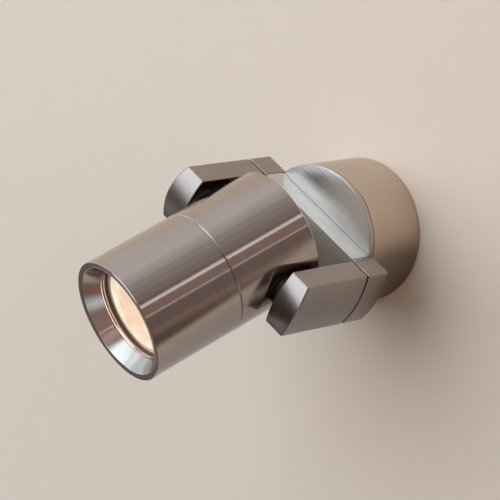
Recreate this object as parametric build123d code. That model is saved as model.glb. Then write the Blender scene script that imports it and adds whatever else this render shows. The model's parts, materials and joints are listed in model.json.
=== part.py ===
from build123d import *
from math import asin, degrees, sqrt
import os

# Wall spotlight: a canopy on the wall, a turning yoke and a lamp tube that tilts between two arms.
# Every piece is drawn square on, with +Z out of the wall, +X along the tilt axis and +Y up.
# The last lines turn each group into its standing pose: +Z up, the wall in the XZ plane, the room at -Y.
# The lamp is a standard size: the tube is sized round it, the canopy from the tube, the yoke from both.

# Standing pose, in degrees
swivel_rest = 34.0
tilt_rest = 27.2

# Clearances
press_gap = 0.03
running_gap = 0.05
screw_gap = 0.15
thread_gap = 0.15
slip_gap = 0.3

# Canopy
canopy_step = 5.0
canopy_depth = 34.6
canopy_wall = 3.0
canopy_face = 4.2
canopy_edge = 0.4
rim_lip = 1.2
gasket_thickness = 2.0

# Wall plate
plate_thickness = 2.0
plate_margin = 0.8
wall_screw_spacing = 46.0
wall_slot_width = 4.6
wall_slot_length = 9.0
bracket_width = 12.0
bracket_height = 12.0
bracket_foot = 6.0
bracket_thickness = 2.0
hook_width = 10.0
hook_bite = 1.2
lock_screw_radius = 2.0
lock_screw_length = 8.0
lock_screw_recess = 0.6
lock_screw_height = 7.0
lock_key_size = 2.0
lock_key_depth = 2.0

# Cable entry, supply connector and earth point
entry_offset = 12.0
entry_radius = 6.5
grommet_bore_radius = 4.0
grommet_flange_radius = 8.5
grommet_flange_thickness = 2.0
pole_count = 3
pole_pitch = 9.0
terminal_offset = 12.0
terminal_depth = 14.0
terminal_height = 12.0
terminal_wire_radius = 1.6
terminal_wire_height = 4.0
terminal_screw_radius = 1.5
terminal_screw_spread = 7.0
terminal_screw_depth = 5.0
terminal_groove_width = 1.2
terminal_groove_depth = 4.0
earth_screw_across = 17.0
earth_screw_up = 16.0
earth_screw_radius = 2.0
earth_head_radius = 3.4
earth_head_height = 2.4
earth_washer_radius = 4.4
earth_washer_thickness = 1.0
driver_slot_width = 0.8
driver_slot_depth = 0.9

# Swivel joint
swivel_seam = 0.3
stem_radius = 8.0
stem_bore_radius = 4.5
stem_grip = 7.0
stem_tail = 1.4
bush_wall = 2.0
bush_flange_width = 3.0
bush_flange_thickness = 1.5
disc_spring_width = 4.2
disc_spring_height = 2.0
disc_spring_thickness = 0.9
swivel_nut_size = 22.0
swivel_nut_thickness = 5.0
friction_disc_margin = 1.0
friction_disc_width = 4.0
friction_disc_thickness = 0.8
friction_disc_stand = 0.25
stop_circle_inset = 6.0
stop_rib_width = 2.4
stop_pin_radius = 2.0
stop_pin_reach = 2.2
stop_pin_grip = 6.0
stop_groove_depth = 2.6

# Yoke
collar_depth = 4.0
collar_width = 2.8
disc_thickness = 0.8
bar_height = 11.9
arm_width = 29.4
edge_break = 0.3
block_depth = 11.5
block_overlap = 2.4
block_rise = 0.2
tenon_width = 21.0
tenon_thickness = 5.6
tenon_skin = 2.5
tenon_height = 10.3
arm_screw_radius = 2.0
arm_screw_spread = 14.0
arm_screw_bite = 9.0
arm_screw_head_radius = 3.5
arm_screw_head_height = 4.0
arm_screw_key_size = 3.0
arm_screw_key_depth = 2.0
shadow_gap = 0.8
boss_inset = 1.5
nose_reach = 7.3
nose_rise = 2.7
wire_channel_radius = 1.7

# Tilt joint
swing_clearance = 0.82
tilt_gap = 2.8
arm_skin = 3.5
wire_chamber = 4.0
stud_radius = 5.0
stud_bore_radius = 2.4
stud_shoulder_radius = 8.0
stud_tail = 1.5
pivot_bush_wall = 1.5
tilt_washer_thickness = 1.0
pivot_nut_size = 15.0
pivot_nut_thickness = 3.5
nut_seat_wall = 2.1

# Lamp tube, lengths from the tilt axis
tube_wall = 4.4
tube_seam = 25.3
tube_rear = 20.3
housing_wall = 3.5
rear_edge = 0.8
seam_edge = 0.3
seam_line = 0.1
spigot_length = 8.0
spigot_wall = 1.25
front_edge = 0.3
mouth_rim = 3.0
taper_depth = 7.4
taper_run = 4.3
throat_land = 0.8
lip_step = 0.5
lip_thickness = 2.0
cap_ledge = 1.5
cap_thickness = 3.0
cap_recess = 0.3
cap_spigot_length = 2.0

# Lamp and its holder
lamp_diameter = 50.0
lamp_length = 51.7
lamp_clearance = 0.6
lamp_rim_length = 8.0
lamp_neck_radius = 14.0
lamp_neck_length = 11.0
lamp_waist_step = 5.0
lamp_waist_length = 24.0
lamp_rim_width = 4.9
lens_depth = 3.0
lens_edge_rise = 0.1
lens_dome = 0.8
cushion_lip = 0.5
cushion_thickness = 1.5
lamp_pin_spacing = 10.0
lamp_pin_radius = 1.5
lamp_pin_length = 7.0
lamp_pin_head_radius = 2.5
lamp_pin_head_length = 2.7
holder_height = 17.0
holder_radius = 13.5
holder_half_width = 9.5
holder_flange_radius = 16.5
holder_flange_thickness = 5.0
holder_pin_socket_depth = 8.0
holder_screw_spread = 26.0
holder_screw_radius = 1.5
holder_screw_head_radius = 2.7
holder_screw_head_height = 2.0
holder_screw_bite = 3.0
post_radius = 2.9
post_length = 8.25

# Worked-out radii of the round pieces, from the lamp outwards
lamp_radius = lamp_diameter / 2
lens_radius = lamp_radius - lamp_rim_width
lamp_waist_radius = lamp_radius - lamp_waist_step
snoot_bore_radius = lamp_radius + lamp_clearance
tube_radius = snoot_bore_radius + tube_wall
tube_bore_radius = tube_radius - housing_wall
spigot_radius = tube_bore_radius + spigot_wall
socket_radius = spigot_radius + thread_gap
cap_radius = tube_bore_radius + cap_ledge
mouth_radius = tube_radius - mouth_rim
throat_radius = mouth_radius - taper_run
lip_radius = throat_radius - lip_step
cushion_inner_radius = lip_radius - cushion_lip
base_radius = tube_radius + canopy_step
canopy_inner_radius = base_radius - canopy_wall
gasket_outer_radius = base_radius - rim_lip
plate_radius = canopy_inner_radius - plate_margin
core_radius = base_radius - running_gap
hub_radius = base_radius - collar_depth
friction_disc_outer_radius = hub_radius - friction_disc_margin
friction_disc_inner_radius = friction_disc_outer_radius - friction_disc_width
stop_circle_radius = friction_disc_inner_radius - stop_circle_inset
bush_radius = stem_radius + running_gap + bush_wall
block_inner_radius = base_radius + running_gap
yoke_radius = base_radius + block_depth

# Worked-out places of the base, measured from the wall
canopy_inner_face = canopy_depth - canopy_face
bracket_face = sqrt(plate_radius**2 - (bracket_width / 2) ** 2)
bracket_back = bracket_face - bracket_thickness
bracket_top = plate_thickness + bracket_height
hook_tip = canopy_inner_radius + hook_bite
hook_underside = bracket_top - bracket_thickness
bush_flange_face = canopy_inner_face - bush_flange_thickness
nut_top = bush_flange_face - running_gap - disc_spring_height
nut_bottom = nut_top - swivel_nut_thickness
stem_bottom = nut_bottom - stem_tail

# Worked-out places of the yoke, measured from the wall
yoke_rear = canopy_depth + swivel_seam
collar_front = yoke_rear + collar_width
disc_front = collar_front + disc_thickness
bar_front = disc_front + bar_height
stem_top = yoke_rear + stem_grip
block_rear = disc_front - block_overlap
block_front = bar_front + block_rise
tenon_centre = yoke_rear + tenon_height
tenon_tip = yoke_radius - tenon_skin
half_width = arm_width / 2
arm_screw_across = (base_radius + yoke_radius) / 2
arm_screw_seat = block_rear + arm_screw_head_height + screw_gap

# The tube's rear corner swings just clear of the yoke's bar, and the arms reach past the tilt axis
swing_radius = sqrt(tube_radius**2 + (tube_rear - rear_edge) ** 2)
pivot_height = bar_front + swing_clearance + swing_radius
arm_rear = block_front + shadow_gap
arm_tip = pivot_height + nose_reach + nose_rise
nose_radius = (half_width**2 + nose_rise**2) / (2 * nose_rise)

# Worked-out places of the tilt joint, measured along the tilt axis
arm_inner = tube_radius + tilt_gap
pivot_bore_end = yoke_radius - arm_skin
pivot_bush_end = pivot_bore_end - wire_chamber
pivot_bush_radius = stud_radius + running_gap + pivot_bush_wall
wire_channel_across = pivot_bore_end - wire_chamber / 2
washer_face = arm_inner - tilt_washer_thickness
stud_seat_radius = stud_shoulder_radius + slip_gap
stud_seat = sqrt(tube_radius**2 - stud_seat_radius**2)
nut_seat = stud_seat - nut_seat_wall
nut_seat_radius = pivot_nut_size / sqrt(3) + slip_gap
stud_inner_end = nut_seat - pivot_nut_thickness - stud_tail

# Worked-out places of the head, measured along the tube from the tilt axis, stacked up from the rear
cap_rear = cap_recess - tube_rear
cap_seat = cap_rear + cap_thickness
cap_inner = cap_seat + cap_spigot_length
holder_rear = cap_inner + post_length
holder_front = holder_rear + holder_height
lamp_base = holder_front + running_gap
lamp_front = lamp_base + lamp_length
lip_rear = lamp_front + slip_gap + cushion_thickness
throat_front = lip_rear + lip_thickness
lip_front = throat_front - throat_land
tube_front = throat_front + taper_depth
spigot_front = tube_seam + spigot_length


def rod(radius, start, end):
    """Round bar along Z between two heights."""
    return Pos(0, 0, (start + end) / 2) * Cylinder(radius, end - start)


def cross_rod(radius, start, end):
    """Round bar along X between two places."""
    return Rot(Y=90) * rod(radius, start, end)


def ring(outer_radius, inner_radius, start, end):
    return rod(outer_radius, start, end) - rod(inner_radius, start, end)


def block(x_range, y_range, z_range):
    """Box between two corners."""
    ranges = (x_range, y_range, z_range)
    middle = [(low + high) / 2 for low, high in ranges]
    return Pos(*middle) * Box(*[high - low for low, high in ranges])


def turned(*points):
    """Body turned about Z from a closed outline of (radius, height) points."""
    return revolve(make_face(Plane.XZ * Polyline(*points, close=True)), Axis.Z)


def hexagon(size, start, end):
    """Hexagonal bar along Z, measured across its flats."""
    outline = RegularPolygon(size / 2, 6, major_radius=False)
    return Pos(0, 0, start) * extrude(outline, end - start)


def driver_slot(radius, top):
    """Cut for a flat screwdriver across a screw head."""
    half_slot = driver_slot_width / 2
    return block((-radius, radius), (-half_slot, half_slot), (top - driver_slot_depth, top))


def both_sides(piece):
    """A right-hand piece and its mirror image across the tube."""
    return piece, mirror(piece, about=Plane.YZ)


# Base


def make_canopy():
    cup = turned(
        (gasket_outer_radius, 0),
        (base_radius, 0),
        (base_radius, canopy_depth - canopy_edge),
        (base_radius - canopy_edge, canopy_depth),
        (bush_radius + press_gap, canopy_depth),
        (bush_radius + press_gap, canopy_inner_face),
        (canopy_inner_radius, canopy_inner_face),
        (canopy_inner_radius, gasket_thickness),
        (gasket_outer_radius, gasket_thickness),
    )
    seat_outer_radius = friction_disc_outer_radius + press_gap
    seat_inner_radius = friction_disc_inner_radius - press_gap
    seat_bottom = canopy_depth - friction_disc_thickness + friction_disc_stand
    cup -= ring(seat_outer_radius, seat_inner_radius, seat_bottom, canopy_depth)
    cup -= make_stop_groove()
    half_hook = hook_width / 2 + slip_gap
    hook_heights = (hook_underside - slip_gap, bracket_top + slip_gap)
    hook_slot = block((-half_hook, half_hook), (0, hook_tip + slip_gap), hook_heights)
    cup -= hook_slot - rod(canopy_inner_radius, *hook_heights)
    lock_hole = rod(lock_screw_radius + screw_gap, 0, base_radius)
    return cup - Pos(0, 0, lock_screw_height) * Rot(X=90) * lock_hole


def make_stop_groove():
    """Arc that the stop pin runs in: a rib at the far side stops the swivel just short of a full turn."""
    inner_radius = stop_circle_radius - stop_pin_radius - slip_gap
    outer_radius = stop_circle_radius + stop_pin_radius + slip_gap
    section = make_face(
        Plane.XZ
        * Polyline(
            (inner_radius, canopy_depth - stop_groove_depth),
            (outer_radius, canopy_depth - stop_groove_depth),
            (outer_radius, canopy_depth),
            (inner_radius, canopy_depth),
            close=True,
        )
    )
    half_arc = 180 - degrees(asin(stop_rib_width / 2 / stop_circle_radius))
    return Rot(Z=-half_arc) * revolve(section, Axis.Z, 2 * half_arc)


def make_wall_gasket():
    return ring(gasket_outer_radius - press_gap, plate_radius + slip_gap, 0, gasket_thickness)


def make_wall_plate():
    plate = rod(plate_radius, 0, plate_thickness)
    slot = extrude(SlotOverall(wall_slot_length, wall_slot_width), plate_thickness)
    for side in (-1, 1):
        plate -= Pos(side * wall_screw_spacing / 2, 0, 0) * slot
    plate -= Pos(0, entry_offset, 0) * rod(entry_radius, 0, plate_thickness)
    earth_hole = rod(earth_screw_radius + press_gap, 0, plate_thickness)
    return plate - Pos(earth_screw_across, earth_screw_up, 0) * earth_hole


def make_bracket():
    """Folded bracket that stands on the plate near its upper edge."""
    across = (-bracket_width / 2, bracket_width / 2)
    foot_top = plate_thickness + bracket_thickness
    foot = block(across, (bracket_back - bracket_foot, bracket_face), (plate_thickness, foot_top))
    return foot + block(across, (bracket_back, bracket_face), (plate_thickness, bracket_top))


def make_hook_bracket():
    across = (-hook_width / 2, hook_width / 2)
    return make_bracket() + block(across, (bracket_back, hook_tip), (hook_underside, bracket_top))


def make_lock_bracket():
    lock_hole = rod(lock_screw_radius + press_gap, bracket_back, bracket_face)
    return mirror(make_bracket(), about=Plane.XZ) - Pos(0, 0, lock_screw_height) * Rot(X=90) * lock_hole


def make_canopy_lock_screw():
    outer_end = base_radius - lock_screw_recess
    screw = rod(lock_screw_radius, outer_end - lock_screw_length, outer_end)
    screw -= hexagon(lock_key_size, outer_end - lock_key_depth, outer_end)
    return Pos(0, 0, lock_screw_height) * Rot(X=90) * screw


def make_cable_grommet():
    waist_radius = entry_radius - press_gap
    flange_top = plate_thickness + grommet_flange_thickness
    grommet = turned(
        (grommet_bore_radius, 0),
        (waist_radius, 0),
        (waist_radius, plate_thickness),
        (grommet_flange_radius, plate_thickness),
        (grommet_flange_radius, flange_top),
        (grommet_bore_radius, flange_top),
    )
    return Pos(0, entry_offset, 0) * grommet


def terminal_places():
    """Screw centres of the connector: two in a row for each pole."""
    rows = (-terminal_screw_spread / 2, terminal_screw_spread / 2)
    poles = [(index - (pole_count - 1) / 2) * pole_pitch for index in range(pole_count)]
    return [(across, row - terminal_offset) for across in poles for row in rows]


def make_terminal_block():
    half_length = pole_count * pole_pitch / 2
    depths = (-terminal_offset - terminal_depth / 2, -terminal_offset + terminal_depth / 2)
    top = plate_thickness + terminal_height
    body = block((-half_length, half_length), depths, (plate_thickness, top))
    for index in range(1, pole_count):
        middle = index * pole_pitch - half_length
        groove = (middle - terminal_groove_width / 2, middle + terminal_groove_width / 2)
        body -= block(groove, depths, (top - terminal_groove_depth, top))
    wire_hole = Rot(X=90) * rod(terminal_wire_radius, -depths[1], -depths[0])
    for across, row in terminal_places():
        body -= Pos(across, 0, plate_thickness + terminal_wire_height) * wire_hole
        screw_hole = rod(terminal_screw_radius + press_gap, top - terminal_screw_depth, top)
        body -= Pos(across, row, 0) * screw_hole
    return body


def make_terminal_screws():
    top = plate_thickness + terminal_height - driver_slot_depth
    screw = rod(terminal_screw_radius, plate_thickness + terminal_height - terminal_screw_depth, top)
    screw -= driver_slot(terminal_screw_radius, top)
    return Compound([Pos(across, row, 0) * screw.solid() for across, row in terminal_places()])


def make_earth_screw():
    washer_top = plate_thickness + earth_washer_thickness
    head_top = washer_top + earth_head_height
    screw = rod(earth_screw_radius, 0, washer_top)
    screw += rod(earth_washer_radius, plate_thickness, washer_top)
    screw += rod(earth_head_radius, washer_top, head_top)
    screw -= driver_slot(earth_head_radius, head_top)
    return Pos(earth_screw_across, earth_screw_up, 0) * screw


def make_swivel_bush():
    bore_radius = stem_radius + running_gap
    return turned(
        (bore_radius, bush_flange_face),
        (bush_radius + bush_flange_width, bush_flange_face),
        (bush_radius + bush_flange_width, canopy_inner_face),
        (bush_radius, canopy_inner_face),
        (bush_radius, canopy_depth),
        (bore_radius, canopy_depth),
    )


def make_swivel_friction_disc():
    top = canopy_depth + friction_disc_stand
    return ring(friction_disc_outer_radius, friction_disc_inner_radius, top - friction_disc_thickness, top)


# Yoke


def make_collar_ring():
    return ring(base_radius, hub_radius + press_gap, yoke_rear, collar_front)


def make_yoke_core():
    core = rod(hub_radius, yoke_rear, collar_front) + rod(core_radius, collar_front, disc_front)
    bar = block((-base_radius, base_radius), (-half_width, half_width), (disc_front, bar_front))
    core += bar & rod(core_radius, disc_front, bar_front)
    half_tenon = tenon_width / 2
    tenon_heights = (tenon_centre - tenon_thickness / 2, tenon_centre + tenon_thickness / 2)
    core += block((-tenon_tip, tenon_tip), (-half_tenon, half_tenon), tenon_heights)
    core -= rod(stem_radius + press_gap, yoke_rear, stem_top)
    core -= rod(stem_bore_radius, stem_top, tenon_centre)
    wire_channel = cross_rod(wire_channel_radius, -wire_channel_across, wire_channel_across)
    core -= Pos(0, 0, tenon_centre) * wire_channel
    pin_hole = rod(stop_pin_radius + press_gap, yoke_rear, yoke_rear + stop_pin_grip)
    core -= Pos(stop_circle_radius, 0, 0) * pin_hole
    for side in (-1, 1):
        core -= Pos(side * wire_channel_across, 0, 0) * rod(wire_channel_radius, tenon_centre, bar_front)
        for across, up in arm_screw_places(side):
            core -= Pos(across, up, 0) * rod(arm_screw_radius + screw_gap, *tenon_heights)
    return core


def make_swivel_stem():
    return ring(stem_radius, stem_bore_radius, stem_bottom, stem_top)


def make_swivel_nut():
    nut = hexagon(swivel_nut_size, nut_bottom, nut_top)
    return nut - rod(stem_radius + press_gap, nut_bottom, nut_top)


def make_swivel_disc_spring():
    """Conical washer: its inner edge sits on the nut, its outer edge under the bush."""
    inner_radius = stem_radius + slip_gap
    outer_radius = inner_radius + disc_spring_width
    top = nut_top + disc_spring_height
    return turned(
        (inner_radius, nut_top),
        (outer_radius, top - disc_spring_thickness),
        (outer_radius, top),
        (inner_radius, nut_top + disc_spring_thickness),
    )


def make_swivel_stop_pin():
    pin = rod(stop_pin_radius, canopy_depth - stop_pin_reach, yoke_rear + stop_pin_grip)
    return Pos(stop_circle_radius, 0, 0) * pin


def arm_screw_places(side):
    """Centres of the two screws on one side of the yoke."""
    return [(side * arm_screw_across, half * arm_screw_spread / 2) for half in (-1, 1)]


def make_side_block():
    """Right-hand block: its hollow side hugs the core, its outer side is round about the swivel axis."""
    body = block((0, yoke_radius), (-half_width, half_width), (block_rear, block_front))
    body = body & ring(yoke_radius, block_inner_radius, block_rear, block_front)
    outer_edges = body.edges().filter_by(lambda edge: edge.center().X > arm_screw_across)
    body = chamfer(outer_edges, edge_break)
    half_pocket = tenon_width / 2 + press_gap
    half_height = tenon_thickness / 2 + press_gap
    pocket_heights = (tenon_centre - half_height, tenon_centre + half_height)
    body -= block((0, tenon_tip + press_gap), (-half_pocket, half_pocket), pocket_heights)
    body -= Pos(wire_channel_across, 0, 0) * rod(wire_channel_radius, tenon_centre, block_front)
    for across, up in arm_screw_places(1):
        body -= Pos(across, up, 0) * rod(arm_screw_radius + screw_gap, block_rear, block_front)
        body -= Pos(across, up, 0) * rod(arm_screw_head_radius + screw_gap, block_rear, arm_screw_seat)
    return body


def make_arm():
    """Right-hand arm: flat inside, round outside, with a crowned nose and a boss that meets its block."""
    body = block((arm_inner, yoke_radius), (-half_width, half_width), (arm_rear, arm_tip))
    body = body & rod(yoke_radius, arm_rear, arm_tip)
    body = body & Pos(0, 0, arm_tip - nose_radius) * cross_rod(nose_radius, arm_inner, yoke_radius)
    body = chamfer(body.edges(), edge_break)
    half_boss = half_width - boss_inset
    boss_heights = (block_front, arm_rear + edge_break)
    boss = block((arm_inner + boss_inset, yoke_radius), (-half_boss, half_boss), boss_heights)
    body += boss & rod(yoke_radius - boss_inset, *boss_heights)
    body -= Pos(0, 0, pivot_height) * cross_rod(pivot_bush_radius + press_gap, arm_inner, pivot_bore_end)
    body -= Pos(wire_channel_across, 0, 0) * rod(wire_channel_radius, block_front, pivot_height)
    for across, up in arm_screw_places(1):
        screw_hole = rod(arm_screw_radius + press_gap, block_front, block_front + arm_screw_bite)
        body -= Pos(across, up, 0) * screw_hole
    return body


def make_arm_screws():
    head_bottom = arm_screw_seat - arm_screw_head_height
    screw = rod(arm_screw_head_radius, head_bottom, arm_screw_seat)
    screw += rod(arm_screw_radius, arm_screw_seat, block_front + arm_screw_bite - screw_gap)
    screw -= hexagon(arm_screw_key_size, head_bottom, head_bottom + arm_screw_key_depth)
    places = arm_screw_places(-1) + arm_screw_places(1)
    return Compound([Pos(across, up, 0) * screw.solid() for across, up in places])


def make_pivot_bush():
    bush = cross_rod(pivot_bush_radius, arm_inner, pivot_bush_end)
    bush -= cross_rod(stud_radius + running_gap, arm_inner, pivot_bush_end)
    return Pos(0, 0, pivot_height) * bush


def make_tilt_washer():
    washer = cross_rod(stud_shoulder_radius, washer_face, arm_inner)
    washer -= cross_rod(stud_radius + slip_gap, washer_face, arm_inner)
    return Pos(0, 0, pivot_height) * washer


# Head, drawn with the tilt axis at the origin


def make_lamp_housing():
    shoulder = tube_seam - seam_line / 2
    housing = turned(
        (cap_radius + press_gap, -tube_rear),
        (tube_radius - rear_edge, -tube_rear),
        (tube_radius, rear_edge - tube_rear),
        (tube_radius, shoulder - seam_edge),
        (tube_radius - seam_edge, shoulder),
        (spigot_radius, shoulder),
        (spigot_radius, spigot_front),
        (tube_bore_radius, spigot_front),
        (tube_bore_radius, cap_seat),
        (cap_radius + press_gap, cap_seat),
    )
    for side in (-1, 1):
        housing -= cross_rod(stud_seat_radius, *sorted((side * stud_seat, side * tube_radius)))
        housing -= cross_rod(stud_radius + press_gap, *sorted((side * stud_inner_end, side * stud_seat)))
        housing -= cross_rod(nut_seat_radius, *sorted((side * stud_inner_end, side * nut_seat)))
    return housing


def make_rear_cap():
    spigot_edge = tube_bore_radius - press_gap
    cap = turned(
        (0, cap_rear),
        (cap_radius, cap_rear),
        (cap_radius, cap_seat),
        (spigot_edge, cap_seat),
        (spigot_edge, cap_inner),
        (0, cap_inner),
    )
    for up in holder_screw_places():
        screw_hole = rod(holder_screw_radius + press_gap, cap_inner - holder_screw_bite, cap_inner)
        cap -= Pos(0, up, 0) * screw_hole
    return cap


def make_pivot_stud():
    """Hollow stud: the nut clamps its shoulder on the tube, its outer end turns in the arm's bush."""
    stud = cross_rod(stud_radius, stud_inner_end, pivot_bush_end)
    stud += cross_rod(stud_shoulder_radius, stud_seat, washer_face - running_gap)
    return stud - cross_rod(stud_bore_radius, stud_inner_end, pivot_bush_end)


def make_pivot_nut():
    nut = hexagon(pivot_nut_size, nut_seat - pivot_nut_thickness, nut_seat)
    nut -= rod(stud_radius + press_gap, nut_seat - pivot_nut_thickness, nut_seat)
    return Rot(Y=90) * nut


def holder_screw_places():
    return (-holder_screw_spread / 2, holder_screw_spread / 2)


def lamp_pin_places():
    return (-lamp_pin_spacing / 2, lamp_pin_spacing / 2)


def make_lamp_holder():
    flange_front = holder_rear + holder_flange_thickness
    upper = rod(holder_radius, flange_front, holder_front)
    flats = (-holder_half_width, holder_half_width)
    holder = rod(holder_flange_radius, holder_rear, flange_front)
    holder += upper & block((-holder_radius, holder_radius), flats, (flange_front, holder_front))
    for across in lamp_pin_places():
        socket = rod(lamp_pin_head_radius + slip_gap, holder_front - holder_pin_socket_depth, holder_front)
        holder -= Pos(across, 0, 0) * socket
    for up in holder_screw_places():
        holder -= Pos(0, up, 0) * rod(holder_screw_radius + screw_gap, holder_rear, flange_front)
    return holder


def make_holder_posts():
    post = ring(post_radius, holder_screw_radius + screw_gap, cap_inner, holder_rear)
    return Compound([Pos(0, up, 0) * post.solid() for up in holder_screw_places()])


def make_holder_screws():
    flange_front = holder_rear + holder_flange_thickness
    head_front = flange_front + holder_screw_head_height
    screw = rod(holder_screw_radius, cap_inner - holder_screw_bite, flange_front)
    screw += rod(holder_screw_head_radius, flange_front, head_front)
    screw -= driver_slot(holder_screw_head_radius, head_front)
    return Compound([Pos(0, up, 0) * screw.solid() for up in holder_screw_places()])


def make_lamp_body():
    rim_rear = lamp_front - lamp_rim_length
    lens_seat = lamp_front - lens_depth
    return turned(
        (0, lamp_base),
        (lamp_neck_radius, lamp_base),
        (lamp_neck_radius, lamp_base + lamp_neck_length),
        (lamp_waist_radius, lamp_base + lamp_waist_length),
        (lamp_radius, rim_rear),
        (lamp_radius, lamp_front),
        (lens_radius + press_gap, lamp_front),
        (lens_radius + press_gap, lens_seat),
        (0, lens_seat),
    )


def make_lamp_pins():
    head_front = lamp_base - lamp_pin_length + lamp_pin_head_length
    pin = rod(lamp_pin_radius, head_front, lamp_base) + rod(
        lamp_pin_head_radius, lamp_base - lamp_pin_length, head_front
    )
    return Compound([Pos(across, 0, 0) * pin.solid() for across in lamp_pin_places()])


def make_lamp_lens():
    """Slightly domed front lens of the lamp."""
    edge = lamp_front + lens_edge_rise
    back = lamp_front - lens_depth
    front = ThreePointArc((-lens_radius, edge), (0, edge + lens_dome), (lens_radius, edge))
    sides = Polyline((lens_radius, edge), (lens_radius, back), (-lens_radius, back), (-lens_radius, edge))
    section = make_face(Plane.XZ * (front + sides))
    half = section & Plane.XZ * Pos(lens_radius, lamp_front) * Rectangle(2 * lens_radius, lamp_length)
    return revolve(half, Axis.Z)


def make_snoot():
    """Front of the tube: a socket over the spigot, a bore round the lamp and a tapered mouth."""
    rear = tube_seam + seam_line / 2
    socket_front = spigot_front + slip_gap
    return turned(
        (socket_radius, rear),
        (tube_radius - seam_edge, rear),
        (tube_radius, rear + seam_edge),
        (tube_radius, tube_front - front_edge),
        (tube_radius - front_edge, tube_front),
        (mouth_radius, tube_front),
        (throat_radius, throat_front),
        (throat_radius, lip_front),
        (lip_radius, lip_front),
        (lip_radius, lip_rear),
        (snoot_bore_radius, lip_rear),
        (snoot_bore_radius, socket_front),
        (socket_radius, socket_front),
    )


def make_lamp_cushion_ring():
    outer_radius = snoot_bore_radius - press_gap
    return ring(outer_radius, cushion_inner_radius, lip_rear - cushion_thickness, lip_rear)


# Groups, their standing pose and the files

side_block_right, side_block_left = both_sides(make_side_block())
arm_right, arm_left = both_sides(make_arm())
pivot_bush_right, pivot_bush_left = both_sides(make_pivot_bush())
tilt_washer_right, tilt_washer_left = both_sides(make_tilt_washer())
pivot_stud_right, pivot_stud_left = both_sides(make_pivot_stud())
pivot_nuts = Compound([nut.solid() for nut in both_sides(make_pivot_nut())])

base_pose = Rot(X=90)
yoke_pose = base_pose * Rot(Z=-swivel_rest)
head_pose = yoke_pose * Pos(0, 0, pivot_height) * Rot(X=tilt_rest)

base_pieces = {
    "canopy": make_canopy(),
    "wall_gasket": make_wall_gasket(),
    "wall_plate": make_wall_plate(),
    "hook_bracket": make_hook_bracket(),
    "lock_bracket": make_lock_bracket(),
    "canopy_lock_screw": make_canopy_lock_screw(),
    "cable_grommet": make_cable_grommet(),
    "terminal_block": make_terminal_block(),
    "terminal_screws": make_terminal_screws(),
    "earth_screw": make_earth_screw(),
    "swivel_bush": make_swivel_bush(),
    "swivel_friction_disc": make_swivel_friction_disc(),
}
yoke_pieces = {
    "collar_ring": make_collar_ring(),
    "yoke_core": make_yoke_core(),
    "swivel_stem": make_swivel_stem(),
    "swivel_nut": make_swivel_nut(),
    "swivel_disc_spring": make_swivel_disc_spring(),
    "swivel_stop_pin": make_swivel_stop_pin(),
    "side_block_left": side_block_left,
    "side_block_right": side_block_right,
    "arm_left": arm_left,
    "arm_right": arm_right,
    "arm_screws": make_arm_screws(),
    "pivot_bush_left": pivot_bush_left,
    "pivot_bush_right": pivot_bush_right,
    "tilt_washer_left": tilt_washer_left,
    "tilt_washer_right": tilt_washer_right,
}
head_pieces = {
    "lamp_housing": make_lamp_housing(),
    "rear_cap": make_rear_cap(),
    "pivot_stud_left": pivot_stud_left,
    "pivot_stud_right": pivot_stud_right,
    "pivot_nuts": pivot_nuts,
    "lamp_holder": make_lamp_holder(),
    "holder_posts": make_holder_posts(),
    "holder_screws": make_holder_screws(),
    "lamp_body": make_lamp_body(),
    "lamp_pins": make_lamp_pins(),
    "lamp_lens": make_lamp_lens(),
    "snoot": make_snoot(),
    "lamp_cushion_ring": make_lamp_cushion_ring(),
}

os.makedirs("parts", exist_ok=True)
for pose, pieces in ((base_pose, base_pieces), (yoke_pose, yoke_pieces), (head_pose, head_pieces)):
    for name, piece in pieces.items():
        export_step(pose * piece, f"parts/{name}.step")
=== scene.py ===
import bpy
import bmesh
import json
from math import asin, atan2, cos, pi, radians, sin, sqrt
from mathutils import Matrix, Vector


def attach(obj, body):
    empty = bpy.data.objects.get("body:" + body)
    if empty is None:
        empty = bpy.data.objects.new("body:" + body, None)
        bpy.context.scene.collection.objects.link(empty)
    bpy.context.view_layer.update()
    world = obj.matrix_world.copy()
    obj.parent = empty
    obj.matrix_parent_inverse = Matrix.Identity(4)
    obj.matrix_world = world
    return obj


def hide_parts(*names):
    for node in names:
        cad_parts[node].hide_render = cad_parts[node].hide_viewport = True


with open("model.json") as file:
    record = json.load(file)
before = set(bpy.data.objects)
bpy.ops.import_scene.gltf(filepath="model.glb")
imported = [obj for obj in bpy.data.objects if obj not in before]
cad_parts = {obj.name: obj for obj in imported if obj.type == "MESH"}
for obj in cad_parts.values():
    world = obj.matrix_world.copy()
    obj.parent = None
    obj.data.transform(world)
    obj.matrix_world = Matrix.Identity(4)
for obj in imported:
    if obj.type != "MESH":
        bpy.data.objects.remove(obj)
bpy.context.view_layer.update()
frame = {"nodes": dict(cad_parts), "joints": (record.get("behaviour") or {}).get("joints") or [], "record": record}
nodes = frame["nodes"]
joints = {joint["name"]: joint for joint in frame["joints"]}


# where the three groups sit, taken from the joints

def seatFrame(xAxis, zAxis, place):
    x, z = Vector(xAxis).normalized(), Vector(zAxis).normalized()
    return Matrix.Translation(Vector(place)) @ Matrix((x, z.cross(x), z)).transposed().to_4x4()


swivelAxis = joints["yoke_swivel"]["axis"]
tiltAxis = joints["head_tilt"]["axis"]
tubeAxis = joints["snoot_removal"]["axis"]
baseSeat = seatFrame((1, 0, 0), swivelAxis, (0, 0, 0))
yokeSeat = seatFrame(tiltAxis, swivelAxis, (0, 0, 0))
headSeat = seatFrame(tiltAxis, tubeAxis, joints["head_tilt"]["pos_m"])


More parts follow.
